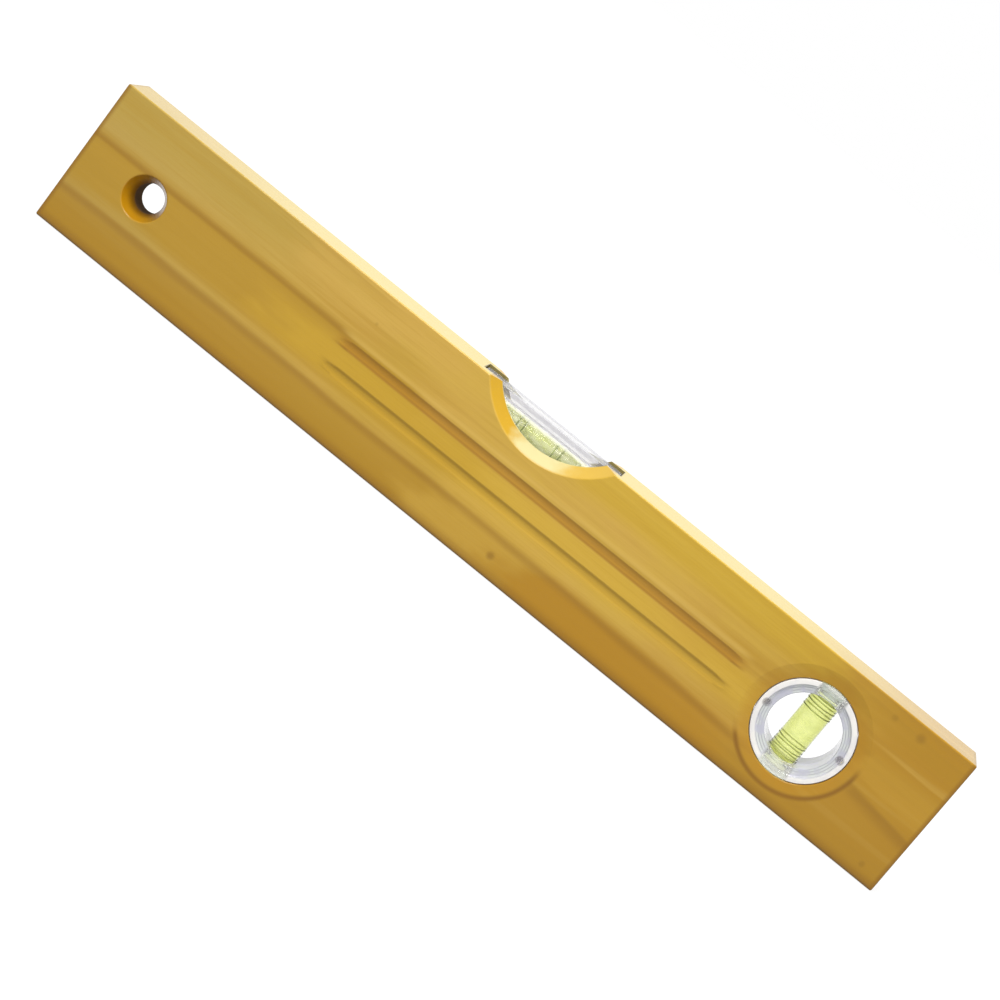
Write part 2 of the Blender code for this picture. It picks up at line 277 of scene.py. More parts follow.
class Finish:
    """Builds one material; each method adds a node and returns the socket with its result."""

    def __init__(self, name):
        self.material = bpy.data.materials.new(name)
        self.material.use_nodes = True
        self.tree = self.material.node_tree
        self.shader = self.tree.nodes["Principled BSDF"]
        coordinates = self.tree.nodes.new("ShaderNodeTexCoord")
        self.normal = coordinates.outputs["Normal"]
        self.place = self.vector("MULTIPLY", coordinates.outputs["Object"], (1 / MM,) * 3)

    def feed(self, socket, value):
        if isinstance(value, bpy.types.NodeSocket):
            self.tree.links.new(value, socket)
        elif isinstance(value, tuple) and len(value) < len(getattr(socket, "default_value", ())):
            socket.default_value = (*value, 1.0)
        else:
            socket.default_value = value

    def node(self, kind, values, **settings):
        made = self.tree.nodes.new(kind)
        for name, value in settings.items():
            setattr(made, name, value)
        for key, value in values.items():
            self.feed(made.inputs[key], value)
        return made

    def math(self, operation, *values):
        return self.node("ShaderNodeMath", dict(enumerate(values)), operation=operation).outputs[0]

    def vector(self, operation, *values):
        made = self.node("ShaderNodeVectorMath", dict(enumerate(values)), operation=operation)
        return made.outputs["Value" if operation in ("LENGTH", "DISTANCE") else "Vector"]

    def split(self, vector):
        return tuple(self.node("ShaderNodeSeparateXYZ", {0: vector}).outputs)

    def add(self, first, *others):
        for other in others:
            first = self.math("ADD", first, other)
        return first

    def times(self, first, *others):
        for other in others:
            first = self.math("MULTIPLY", first, other)
        return first

    def smooth(self, value, start, end, low=0.0, high=1.0):
        """Goes from low to high while the value goes from start to end."""
        values = {"Value": value, "From Min": start, "From Max": end, "To Min": low, "To Max": high}
        made = self.node("ShaderNodeMapRange", values, interpolation_type="SMOOTHSTEP")
        return made.outputs["Result"]

    def noise(self, stretch, detail=2.0, roughness=0.5):
        """Noise with a feature size of one over the stretch, in millimetres, along each axis."""
        scaled = self.vector("MULTIPLY", self.place, stretch)
        values = {"Vector": scaled, "Scale": 1.0, "Detail": detail, "Roughness": roughness}
        return self.node("ShaderNodeTexNoise", values).outputs[0]

    def mix(self, share, first, second):
        return self.node("ShaderNodeMix", {0: share, 6: first, 7: second}, data_type="RGBA").outputs[2]

    def mix_value(self, share, first, second):
        return self.node("ShaderNodeMix", {0: share, 2: first, 3: second}, data_type="FLOAT").outputs[0]

    def bump(self, height, distance, strength):
        values = {"Height": height, "Distance": distance, "Strength": strength}
        return self.node("ShaderNodeBump", values).outputs["Normal"]

    def set(self, **values):
        """Feeds the shader's sockets, named in words joined by underscores."""
        names = {socket.name.lower().replace(" ", "_"): socket for socket in self.shader.inputs}
        for name, value in values.items():
            self.feed(names[name], value)
        return self.material


# ---------------------------------------------------------------- pine

# Growth rings run along X round a pith below and behind the beam
PITH = (30.0, -90.0)
PITH_TO_HEIGHT = 99.5
RING_WIDTH = 3.4

PALE_PINE = (0.565, 0.358, 0.044)
PINK_PINE = (0.565, 0.346, 0.056)
GREY_PINE = (0.440, 0.295, 0.062)
ORANGE_PINE = (0.400, 0.195, 0.000)
DEEP_PINE = (0.395, 0.208, 0.004)
LATE_WOOD = (0.320, 0.165, 0.010)
LIGHT_BAND = (0.640, 0.420, 0.085)
# Dark streak colour, also used as painted shade along the bottom and round the ends
STREAK_WOOD_AND_SHADE = (0.240, 0.105, 0.000)
# Orange for the dished seat and for the hang hole's dish, where it is painted shade
DISH_ORANGE = (0.430, 0.200, 0.001)
# Dark stain for the knots, also used as painted shade in the flutes and round the hang hole's bore
DARK_STAIN_AND_SHADE = (0.190, 0.085, 0.001)
DARK_RIM = (0.230, 0.100, 0.000)
# Painted shade for the bare wood inside the hang hole's bore
SHADED_BORE = (0.110, 0.065, 0.030)
END_GRAIN = (0.240, 0.120, 0.008)
# Stain tints for the flutes, darkened as painted shade
UPPER_FLUTE_STAIN_AND_SHADE = (0.340, 0.145, 0.000)
LOWER_FLUTE_STAIN_AND_SHADE = (0.300, 0.165, 0.002)
# Painted shade in deep yellow and painted light in cream for the notch's flares; the cream is also the
# slot's painted light
SHADED_YELLOW_FLARE = (0.520, 0.290, 0.000)
LIT_CREAM = (0.600, 0.540, 0.260)
# Painted light for the upward faces
LIT_TOP_PINE = (0.620, 0.490, 0.120)
# Painted shade for the slot's ends
SHADED_SLOT_END = (0.220, 0.180, 0.060)
# Painted shade for the lower arrises
EDGE_SHADE = (0.170, 0.085, 0.010)

# Broad changes of tone along the board: x from, to, fade; height from, to, edge; tone; strength
TONE_PATCHES = (
    (-260.0, -45.0, 45.0, 18.0, 38.0, 3.0, (0.400, 0.215, 0.000), 0.75),
    (-260.0, 80.0, 60.0, -10.0, 15.0, 3.0, (0.370, 0.190, 0.000), 0.60),
    (-260.0, -120.0, 50.0, 44.0, 70.0, 6.0, (0.430, 0.285, 0.040), 0.60),
    (50.0, 120.0, 30.0, -10.0, 14.0, 3.0, (0.430, 0.200, 0.000), 0.60),
    (-16.0, 22.0, 24.0, -2.0, 22.0, 4.0, (0.560, 0.340, 0.040), 0.60),
    (-80.0, 120.0, 40.0, 20.0, 32.0, 3.0, (0.590, 0.360, 0.020), 0.55),
    (30.0, 120.0, 30.0, 46.0, 70.0, 4.0, (0.580, 0.370, 0.020), 0.60),
    (176.0, 260.0, 12.0, 26.0, 38.0, 3.0, (0.500, 0.280, 0.020), 0.55),
    (160.0, 260.0, 20.0, -10.0, 22.0, 4.0, (0.400, 0.205, 0.008), 0.50),
)


def disc_distance(finish, x, z, centre_x, centre_z):
    """Distance from an axis along Y."""
    across = finish.math("SUBTRACT", x, centre_x)
    up = finish.math("SUBTRACT", z, centre_z)
    return finish.math("SQRT", finish.add(finish.times(across, across), finish.times(up, up)))


def band(finish, value, middle, above, below):
    """1 at the middle of the band, fading out over one distance above it and another below."""
    rise = finish.smooth(value, middle - below, middle)
    fall = finish.smooth(value, middle, middle + above, 1.0, 0.0)
    return finish.times(rise, fall)


def window(finish, value, start, end, fade):
    """1 between start and end, fading out over a distance outside them."""
    rise = finish.smooth(value, start - fade, start)
    fall = finish.smooth(value, end, end + fade, 1.0, 0.0)
    return finish.times(rise, fall)


def grown_wood(finish, x, y, z):
    """The board's own colour, its height measured along the growth rings, and its fibre noises."""
    slow = finish.noise((0.009, 0.035, 0.035))
    medium = finish.noise((0.022, 0.16, 0.16))
    cloud = finish.noise((0.02, 0.05, 0.05), detail=3.0)
    broad = finish.noise((0.006, 0.13, 0.13), detail=3.0)
    fibre = finish.noise((0.045, 1.5, 1.5), detail=4.0, roughness=0.62)
    hair = finish.noise((0.16, 6.0, 6.0))
    across = finish.math("SUBTRACT", y, PITH[0])
    up = finish.math("SUBTRACT", z, PITH[1])
    reach = finish.math("SQRT", finish.add(finish.times(across, across), finish.times(up, up)))
    wander = finish.add(
        finish.times(finish.math("SUBTRACT", slow, 0.5), 9.0),
        finish.times(finish.math("SUBTRACT", medium, 0.5), 2.4),
    )
    phase = finish.math("FRACT", finish.math("DIVIDE", finish.add(reach, wander), RING_WIDTH))
    late = finish.times(finish.smooth(phase, 0.2, 0.85), finish.smooth(phase, 0.88, 1.0, 1.0, 0.0))
    late_strength = finish.smooth(finish.noise((0.006, 0.09, 0.09)), 0.38, 0.72, 0.0, 0.26)
    height = finish.math("SUBTRACT", reach, PITH_TO_HEIGHT)

    drift = finish.times(finish.math("SUBTRACT", cloud, 0.5), 120.0)
    along = finish.add(x, drift)
    color = finish.mix(finish.smooth(cloud, 0.3, 0.7), PALE_PINE, PINK_PINE)
    color = finish.mix(finish.smooth(along, -230.0, -20.0, 0.95, 0.0), color, GREY_PINE)
    color = finish.mix(finish.smooth(along, 60.0, 190.0, 0.0, 0.9), color, ORANGE_PINE)
    color = finish.mix(finish.smooth(broad, 0.5, 0.66, 0.0, 0.42), color, DEEP_PINE)
    color = finish.mix(finish.smooth(broad, 0.34, 0.46, 0.3, 0.0), color, LIGHT_BAND)
    color = finish.mix(finish.smooth(height, 0.0, 19.0, 0.85, 0.0), color, DEEP_PINE)
    color = finish.mix(finish.times(late, late_strength), color, LATE_WOOD)
    for start, end, fade, low, high, edge, tone, strength in TONE_PATCHES:
        across_patch = finish.times(
            finish.smooth(height, low - edge, low + edge),
            finish.smooth(height, high - edge, high + edge, 1.0, 0.0),
        )
        patch = finish.times(window(finish, along, start, end, fade), across_patch, strength)
        color = finish.mix(patch, color, tone)
    color = finish.mix(finish.smooth(fibre, 0.42, 0.72, 0.0, 0.20), color, DEEP_PINE)
    color = finish.mix(finish.smooth(hair, 0.55, 0.75, 0.0, 0.14), color, LATE_WOOD)
    wobble = finish.times(finish.math("SUBTRACT", medium, 0.5), 1.8)
    return color, finish.add(height, wobble), fibre, hair


def resin_streaks(finish, color, x, height):
    """Three long dark streaks, each a path of heights along the board."""
    right_side = finish.math("MAXIMUM", x, 0.0)
    upper_path = finish.add(finish.times(x, 0.001), 36.2)
    lower_path = finish.add(
        finish.times(x, -0.002), finish.times(right_side, right_side, -0.00012), 13.8
    )
    end_path = finish.add(finish.times(x, -0.157), 50.8)
    streaks = (
        (upper_path, -220.0, -82.0, 16.0, 2.4, 1.6, 0.50),
        (lower_path, -220.0, 110.0, 50.0, 2.2, 2.8, 0.46),
        (end_path, 172.0, 220.0, 8.0, 2.0, 5.0, 0.45),
    )
    for path, start, end, fade, above, below, strength in streaks:
        offset = finish.math("SUBTRACT", height, path)
        mask = finish.times(
            band(finish, offset, 0.0, above, below), window(finish, x, start, end, fade), strength
        )
        color = finish.mix(mask, color, STREAK_WOOD_AND_SHADE)
    return color


def seat_darkening(finish, color, x, z):
    """Darker orange on the plumb ring's dished seat, with a dark rim round its lower right."""
    middle = MID_HEIGHT / MM
    ring_x = RING_CENTRE.x / MM
    ragged = finish.times(finish.math("SUBTRACT", finish.noise((0.2, 0.2, 0.2)), 0.5), 5.0)
    seat = disc_distance(finish, x, z, ring_x, middle)
    floor = finish.smooth(finish.add(seat, ragged), 19.0, 27.0, 0.5, 0.0)
    color = finish.mix(floor, color, DISH_ORANGE)
    lean = finish.add(
        finish.times(finish.math("SUBTRACT", x, ring_x), 0.30),
        finish.times(finish.math("SUBTRACT", z, middle), -0.95),
    )
    rim = finish.times(
        band(finish, seat, 24.9, 1.5, 1.6), finish.smooth(finish.add(lean, ragged), 4.0, 11.0), 0.95
    )
    return finish.mix(rim, color, DARK_RIM)


def hang_hole_stain_and_shade(finish, color, x, y, z):
    """Stain and painted shade on the lower left of the hang hole's dish, painted shade round the bore's
    mouth, and the bare wood in its bore painted dark as shade (its mask also returned).
    """
    from_left = finish.math("SUBTRACT", x, HANG_X / MM)
    from_middle = finish.math("SUBTRACT", z, MID_HEIGHT / MM)
    bore = disc_distance(finish, x, z, HANG_X / MM, MID_HEIGHT / MM)
    # Painted shade with a stain tint on the dish, strongest on its lower left, the side that faces away
    # from the light
    lean = finish.add(finish.times(from_left, -0.8), finish.times(from_middle, -0.6))
    dish = finish.smooth(bore, HANG_DISH_RADIUS / MM - 0.4, HANG_DISH_RADIUS / MM + 0.6, 1.0, 0.0)
    color = finish.mix(
        finish.times(dish, finish.smooth(lean, -6.0, 4.0, 0.35, 0.95)), color, DISH_ORANGE
    )
    # Painted shade round the bore's mouth
    inner = finish.smooth(bore, HANG_RADIUS / MM + 0.2, HANG_RADIUS / MM + 2.0, 0.85, 0.0)
    color = finish.mix(inner, color, DARK_STAIN_AND_SHADE)
    # The bare wood inside the bore is painted dark as shade; the same mask makes it matt and uncoated
    depth = FACE / MM - HANG_DISH_DEPTH / MM
    inside = finish.smooth(finish.math("ABSOLUTE", y), depth - 0.5, depth + 1.0, 1.0, 0.0)
    bare_shaded_bore = finish.times(
        finish.smooth(bore, HANG_RADIUS / MM + 0.3, HANG_RADIUS / MM + 0.9, 1.0, 0.0), inside
    )
    return finish.mix(finish.times(bare_shaded_bore, 0.9), color, SHADED_BORE), bare_shaded_bore


def flute_stain_and_shade(finish, color, x, y, z):
    """Stain tints in the flutes, darkened as painted shade, with darker painted shade along their edges:
    brown in the upper ones, olive in the lower ones.
    """
    near_face = finish.smooth(finish.math("ABSOLUTE", y), 10.2, 11.2)
    along = window(finish, x, FLUTE_START / MM + 5, FLUTE_END / MM - 5, 8.0)
    reach = finish.times(near_face, along)
    middle = MID_HEIGHT / MM
    upper = middle + FLUTE_OFFSET / MM
    lower = middle - FLUTE_OFFSET / MM
    for centre, fill_strength, edges, stain_and_shade in (
        (upper, 0.68, ((1.9, 0.10), (-1.5, 0.45)), UPPER_FLUTE_STAIN_AND_SHADE),
        (lower, 0.34, ((1.3, 0.30),), LOWER_FLUTE_STAIN_AND_SHADE),
    ):
        # Painted shade with a stain tint across each flute
        fill = finish.times(window(finish, z, centre - 1.7, centre + 1.6, 0.6), reach, fill_strength)
        color = finish.mix(fill, color, stain_and_shade)
        for offset, strength in edges:
            # Darker painted shade along the flute's edges
            edge = finish.times(band(finish, z, centre + offset, 0.7, 1.1), reach, strength)
            color = finish.mix(edge, color, DARK_STAIN_AND_SHADE)
    light = finish.times(band(finish, z, upper + 3.6, 2.2, 1.2), along, 0.55)
    return finish.mix(light, color, LIGHT_BAND)


def notch_light_and_shade(finish, color, x, y, z):
    """Painted light and shade on the notch's flares: painted light in cream at the bottom, which faces up
    into the light, and painted shade in deep yellow at the left; the slot's wood gets painted light, with
    painted shade at its ends.
    """
    notch_z = (BEAM_TOP - NOTCH_DEPTH + NOTCH_FACE_RADIUS) / MM
    away = disc_distance(finish, x, z, NOTCH_X / MM, notch_z)
    inner = NOTCH_FACE_RADIUS / MM
    depth = FACE / MM - NOTCH_FLARE_DEPTH / MM
    flare = finish.times(
        finish.smooth(away, inner - 0.6, inner + 0.1, 1.0, 0.0),
        finish.smooth(finish.math("ABSOLUTE", y), depth - 0.6, depth),
    )
    rough = finish.noise((0.25, 0.25, 0.25), detail=3.0)
    ragged = finish.times(finish.math("SUBTRACT", rough, 0.5), 9.0)
    along = finish.add(x, ragged)
    # Painted shade on the flare's left, painted light on its bottom
    tone = finish.mix(finish.smooth(along, -11.0, -1.0), SHADED_YELLOW_FLARE, LIT_CREAM)
    tone = finish.mix(finish.smooth(along, 10.0, 22.0), tone, PALE_PINE)
    color = finish.mix(finish.times(flare, 0.92), color, tone)
    # The slot's wood, in shade behind the vial, is painted pale as painted light, with painted shade at
    # its ends
    slot_wall = (HOLDER_HIGH.y + SLOT_GAP) / MM
    slot_left = (HOLDER_LOW.x - SLOT_GAP) / MM
    slot_right = (HOLDER_HIGH.x + SLOT_GAP) / MM
    slot = finish.times(
        finish.smooth(finish.math("ABSOLUTE", y), slot_wall + 0.1, slot_wall + 0.3, 1.0, 0.0),
        finish.smooth(z, HOLDER_LOW.z / MM - 1.0, HOLDER_LOW.z / MM - 0.5),
        window(finish, x, slot_left - 0.2, slot_right + 0.2, 0.1),
    )
    slot_light_and_shade = finish.mix(window(finish, x, -20.0, 22.0, 4.0), SHADED_SLOT_END, LIT_CREAM)
    return finish.mix(finish.times(slot, 0.92), color, slot_light_and_shade)


def pin_knots(finish, color, x, y, z):
    """Small knots on the front face, as (x, z, radius, strength)."""
    front = finish.smooth(y, -8.0, -4.0, 1.0, 0.0)
    for knot_x, knot_z, radius, strength in (
        (14.0, 8.0, 2.4, 0.5),
        (166.0, 56.0, 2.0, 0.25),
        (178.0, 56.0, 2.8, 0.35),
        (191.0, 6.0, 1.8, 0.3),
        (-72.0, 49.0, 1.0, 0.2),
    ):
        away = disc_distance(finish, x, z, knot_x, knot_z)
        mask = finish.times(finish.smooth(away, 0.2 * radius, radius, strength, 0.0), front)
        color = finish.mix(mask, color, DARK_STAIN_AND_SHADE)
    return color


def edge_shade_top_light_end_grain(finish, color, x, z):
    """Painted shade on the downward faces along the bottom and on the arrises round the ends, painted
    light on the upward faces, and darker end grain.
    """
    facing_x, _, facing_z = finish.split(finish.normal)
    facing_end = finish.math("ABSOLUTE", facing_x)
    # Painted shade on the downward faces along the bottom, darker still on their arrises
    low = finish.times(finish.smooth(z, 0.8, 5.0, 0.6, 0.0), finish.smooth(facing_z, -0.98, -0.8))
    color = finish.mix(low, color, STREAK_WOOD_AND_SHADE)
    arris = finish.times(finish.smooth(z, 0.3, 1.7, 0.85, 0.0), finish.smooth(facing_z, -0.98, -0.8))
    color = finish.mix(arris, color, EDGE_SHADE)
    # Painted shade along the arrises round the ends
    from_middle = finish.math("ABSOLUTE", x)
    end = finish.times(
        finish.smooth(from_middle, 197.6, 199.6, 0.0, 0.75), finish.smooth(facing_end, 0.8, 0.98, 1.0, 0.0)
    )
    color = finish.mix(end, color, STREAK_WOOD_AND_SHADE)
    # Painted light on the upward faces, weaker towards the ends
    lit_top = finish.times(
        finish.smooth(facing_z, 0.75, 0.98), finish.smooth(from_middle, 90.0, 195.0, 1.0, 0.3)
    )
    color = finish.mix(finish.times(lit_top, 0.85), color, LIT_TOP_PINE)
    return finish.mix(finish.smooth(facing_end, 0.45, 0.98, 0.0, 0.7), color, END_GRAIN)


def pine_finish():
    finish = Finish("varnished_pine_finish")
    x, y, z = finish.split(finish.place)
    color, height, fibre, hair = grown_wood(finish, x, y, z)
    color = resin_streaks(finish, color, x, height)
    color = seat_darkening(finish, color, x, z)
    color = flute_stain_and_shade(finish, color, x, y, z)
    color = pin_knots(finish, color, x, y, z)
    color = edge_shade_top_light_end_grain(finish, color, x, z)
    color = notch_light_and_shade(finish, color, x, y, z)
    color, bare_shaded_bore = hang_hole_stain_and_shade(finish, color, x, y, z)
    grain = finish.add(finish.times(fibre, 0.6), finish.times(hair, 0.4))
    sheen = finish.smooth(fibre, 0.3, 0.7, 0.40, 0.54)
    return finish.set(
        base_color=color,
        roughness=finish.math("MAXIMUM", sheen, finish.times(bare_shaded_bore, 0.95)),
        normal=finish.bump(grain, WOOD_RELIEF, 0.5),
        specular_ior_level=0.12,
        coat_weight=finish.smooth(bare_shaded_bore, 0.0, 0.5, 0.8, 0.0),
        coat_roughness=0.2,
        coat_ior=1.38,
    )


# ---------------------------------------------------------------- plastics, liquid and ink

TUBE_TINTS = ((0.90, 0.93, 0.84), (0.97, 0.98, 0.93))
INK_TONES = ((0.66, 0.70, 0.26), (0.74, 0.78, 0.34))
DARK_INK_TONES = ((0.16, 0.20, 0.04), (0.24, 0.28, 0.06))
UPPER_PLUG_TONES = ((0.66, 0.76, 0.70), (0.76, 0.82, 0.76))
PALE_PLUG_TONES = ((0.84, 0.86, 0.56), (0.92, 0.92, 0.74))
PIN_TONES = ((0.20, 0.16, 0.13), (0.28, 0.23, 0.20))


def clear_finish(name, tint, cloudy, transmission, ior):
    """Moulded clear plastic with faint flow lines."""
    finish = Finish(name)
    flow = finish.noise((0.35, 0.9, 0.9), detail=3.0)
    color = finish.mix(finish.smooth(flow, 0.35, 0.65), tint, cloudy)
    return finish.set(
        base_color=color,
        roughness=finish.smooth(flow, 0.3, 0.7, 0.0, 0.05),
        normal=finish.bump(flow, MOULD_RELIEF, 0.25),
        transmission_weight=transmission,
        ior=ior,
    )


def holder_finish():
    """Clear round the vial, greyer and slightly frosted in the solid stretch above it, with a glowing
    painted highlight along the top of the tube.
    """
    finish = Finish("holder_acrylic_finish")
    _, _, z = finish.split(finish.place)
    flow = finish.noise((0.35, 0.9, 0.9), detail=3.0)
    tube_top = (LEVEL_VIAL.centre.z + LEVEL_VIAL.radius) / MM
    frosted = finish.smooth(z, tube_top - 0.1, tube_top + 0.7)
    grey = finish.mix(finish.smooth(flow, 0.35, 0.65), (0.64, 0.63, 0.66), (0.72, 0.71, 0.73))
    # A painted highlight along the top of the tube, which also glows
    painted_glint = band(finish, z, tube_top - 0.5, 1.1, 0.8)
    color = finish.mix(frosted, (0.98, 0.98, 0.96), grey)
    return finish.set(
        base_color=finish.mix(painted_glint, color, (1.0, 1.0, 0.97)),
        roughness=finish.smooth(frosted, 0.0, 1.0, 0.01, 0.12),
        normal=finish.bump(flow, MOULD_RELIEF, 0.25),
        transmission_weight=finish.smooth(finish.math("MAXIMUM", frosted, painted_glint), 0.0, 1.0, 0.97, 0.75),
        emission_color=finish.mix(painted_glint, (0.0, 0.0, 0.0), (1.0, 1.0, 0.95)),
        emission_strength=0.16,
        ior=1.16,
    )


def milky_tube_finish():
    """The level vial's tube: a paler, slightly milky plastic that hides the slot behind it, with a faint
    glow that is painted light.
    """
    finish = Finish("milky_tube_finish")
    cloud = finish.noise((0.2, 0.5, 0.5), detail=3.0)
    shade = finish.smooth(cloud, 0.35, 0.65)
    return finish.set(
        base_color=finish.mix(shade, (0.74, 0.77, 0.44), (0.86, 0.87, 0.66)),
        roughness=finish.smooth(cloud, 0.3, 0.7, 0.02, 0.10),
        normal=finish.bump(cloud, MOULD_RELIEF, 0.25),
        transmission_weight=finish.smooth(cloud, 0.35, 0.65, 0.80, 0.66),
        # A faint glow, which is painted light
        emission_color=finish.mix(shade, (0.78, 0.80, 0.40), (0.88, 0.88, 0.66)),
        emission_strength=0.08,
        ior=1.2,
    )


def ring_finish():
    """The plumb ring's plastic: a creamy lip, a lilac recess with darker concentric stripes, clear over
    the vial.
    """
    finish = Finish("ring_acrylic_finish")
    x, _, z = finish.split(finish.place)
    radius = disc_distance(finish, x, z, RING_CENTRE.x / MM, RING_CENTRE.z / MM)
    off_vial = finish.math("ABSOLUTE", finish.math("SUBTRACT", x, RING_CENTRE.x / MM))
    cover = finish.smooth(off_vial, PLUMB_VIAL.radius / MM - 0.8, PLUMB_VIAL.radius / MM + 0.6)
    flow = finish.noise((0.5, 0.5, 0.5), detail=3.0)
    patch = finish.smooth(finish.noise((0.22, 0.22, 0.22), detail=3.0), 0.38, 0.60)
    concentric_stripes = finish.smooth(finish.math("SINE", finish.times(radius, 6.2)), 0.2, 1.0)
    lip = finish.smooth(radius, RING_LIP_INNER / MM - 0.1, RING_LIP_INNER / MM + 0.7)
    pin_x = finish.math("SUBTRACT", off_vial, PIN_CIRCLE / MM)
    pin_z = finish.math("SUBTRACT", z, RING_CENTRE.z / MM)
    from_pin = finish.math("SQRT", finish.add(finish.times(pin_x, pin_x), finish.times(pin_z, pin_z)))
    pin_boss = finish.smooth(from_pin, 1.0, 2.6, 1.0, 0.0)
    recess = finish.mix(patch, (0.70, 0.70, 0.80), (0.88, 0.92, 0.88))
    recess = finish.mix(finish.times(concentric_stripes, patch, 0.75), recess, (0.40, 0.38, 0.44))
    color = finish.mix(lip, recess, finish.mix(patch, (0.90, 0.88, 0.86), (0.98, 0.95, 0.90)))
    color = finish.mix(finish.times(pin_boss, 0.3), color, (0.62, 0.56, 0.54))
    color = finish.mix(cover, (0.96, 0.98, 0.93), color)
    height = finish.add(finish.times(concentric_stripes, 0.5), flow)
    off_cover = finish.smooth(lip, 0.0, 1.0, 0.40, 0.20)
    solid_share = finish.math("MAXIMUM", off_cover, finish.times(pin_boss, 0.8))
    return finish.set(
        base_color=color,
        roughness=finish.smooth(flow, 0.3, 0.7, 0.03, 0.10),
        normal=finish.bump(height, RING_RELIEF, 0.35),
        transmission_weight=finish.mix_value(cover, 0.80, solid_share),
        # A faint glow, which is painted light: bluish in the recess, warm on the lip
        emission_color=finish.mix(lip, (0.90, 0.90, 1.0), (1.0, 0.98, 0.95)),
        emission_strength=0.03,
        ior=1.3,
    )


def liquid_finish():
    """Yellow-green dyed vial liquid; its faint glow is painted light."""
    finish = Finish("vial_liquid_finish")
    swirl = finish.noise((0.12, 0.3, 0.3), detail=2.0)
    color = finish.mix(finish.smooth(swirl, 0.3, 0.7), (0.86, 0.875, 0.39), (0.83, 0.85, 0.33))
    return finish.set(
        base_color=color,
        roughness=finish.smooth(swirl, 0.3, 0.7, 0.0, 0.03),
        transmission_weight=0.94,
        # A faint glow, which is painted light
        emission_color=finish.mix(swirl, (0.80, 0.86, 0.20), (0.86, 0.88, 0.24)),
        emission_strength=0.06,
        ior=1.36,
    )


def air_finish():
    finish = Finish("vial_air_finish")
    shimmer = finish.noise((0.4, 0.4, 0.4))
    return finish.set(
        base_color=finish.mix(shimmer, (0.98, 1.0, 0.90), (1.0, 1.0, 0.97)),
        roughness=finish.smooth(shimmer, 0.3, 0.7, 0.0, 0.03),
        transmission_weight=0.95,
        # A faint glow, which is painted light
        emission_color=finish.mix(shimmer, (0.95, 1.0, 0.80), (1.0, 1.0, 0.95)),
        emission_strength=0.06,
        ior=1.12,
    )


def moulded_finish(name, color, shade, roughness, transmission=0.0, glow=0.0):
    """Opaque or cloudy moulded plastic, mottled and slightly matt; glow is painted light, standing for
    light inside it.
    """
    finish = Finish(name)
    mottle = finish.noise((1.1, 1.1, 1.1), detail=3.0)
    grain = finish.noise((9.0, 9.0, 9.0), detail=2.0)
    tone = finish.mix(finish.smooth(mottle, 0.3, 0.7), color, shade)
    return finish.set(
        base_color=tone,
        roughness=finish.smooth(grain, 0.3, 0.7, roughness - 0.06, roughness + 0.08),
        normal=finish.bump(grain, MOULD_RELIEF, 0.3),
        transmission_weight=transmission,
        emission_color=tone,
        emission_strength=glow,
    )


# ---------------------------------------------------------------- pieces


def rod(name, radius, half_length, turn, place, ease=0.0, sides=VIAL_SIDES):
    corners = [
        (0, -half_length, 0),
        (radius, -half_length, ease),
        (radius, half_length, ease),
        (0, half_length, 0),
    ]
    return add_mesh(name, turned(rounded(corners, 3), sides, turn), place)


def dished_bore(name, x, z, bore, dish, depth, lip, sides=ROUND_SIDES):
    """A cutter along Y that opens out at both faces, with its corners eased."""
    reach = FACE + OVERSHOOT
    outer = dish + lip
    corners = [
        (0, -reach, 0),
        (outer, -reach, 0),
        (outer, -FACE, 0),
        (dish, -FACE, lip),
        (bore, -FACE + depth, lip),
        (bore, FACE - depth, lip),
        (dish, FACE, lip),
        (outer, FACE, 0),
        (outer, reach, 0),
        (0, reach, 0),
    ]
    return add_mesh(name, turned(rounded(corners), sides, ALONG_Y), (x, 0, z))


def flute(name, face_side, height_offset):
    """A round-bottomed flute that runs out of the wood smoothly at both ends."""
    half = (FLUTE_END - FLUTE_START) / 2
    steps = FLUTE_STEPS
    ease = [math.sin(math.pi / 2 * step / steps) for step in range(steps + 1)]
    radii = [FLUTE_TIP_RADIUS + (FLUTE_RADIUS - FLUTE_TIP_RADIUS) * share for share in ease]
    stations = [FLUTE_RUN_OUT * step / steps for step in range(steps + 1)]
    rising = [(radius, -half + station) for radius, station in zip(radii, stations)]
    falling = [(radius, -along) for radius, along in reversed(rising)]
    outline = [(0, -half), *rising, *falling, (0, half)]
    middle = (FLUTE_START + FLUTE_END) / 2
    place = (middle, face_side * (FACE + FLUTE_AXIS_OUT), MID_HEIGHT + height_offset)
    return add_mesh(name, turned(outline, FLUTE_SIDES, ALONG_X), place)


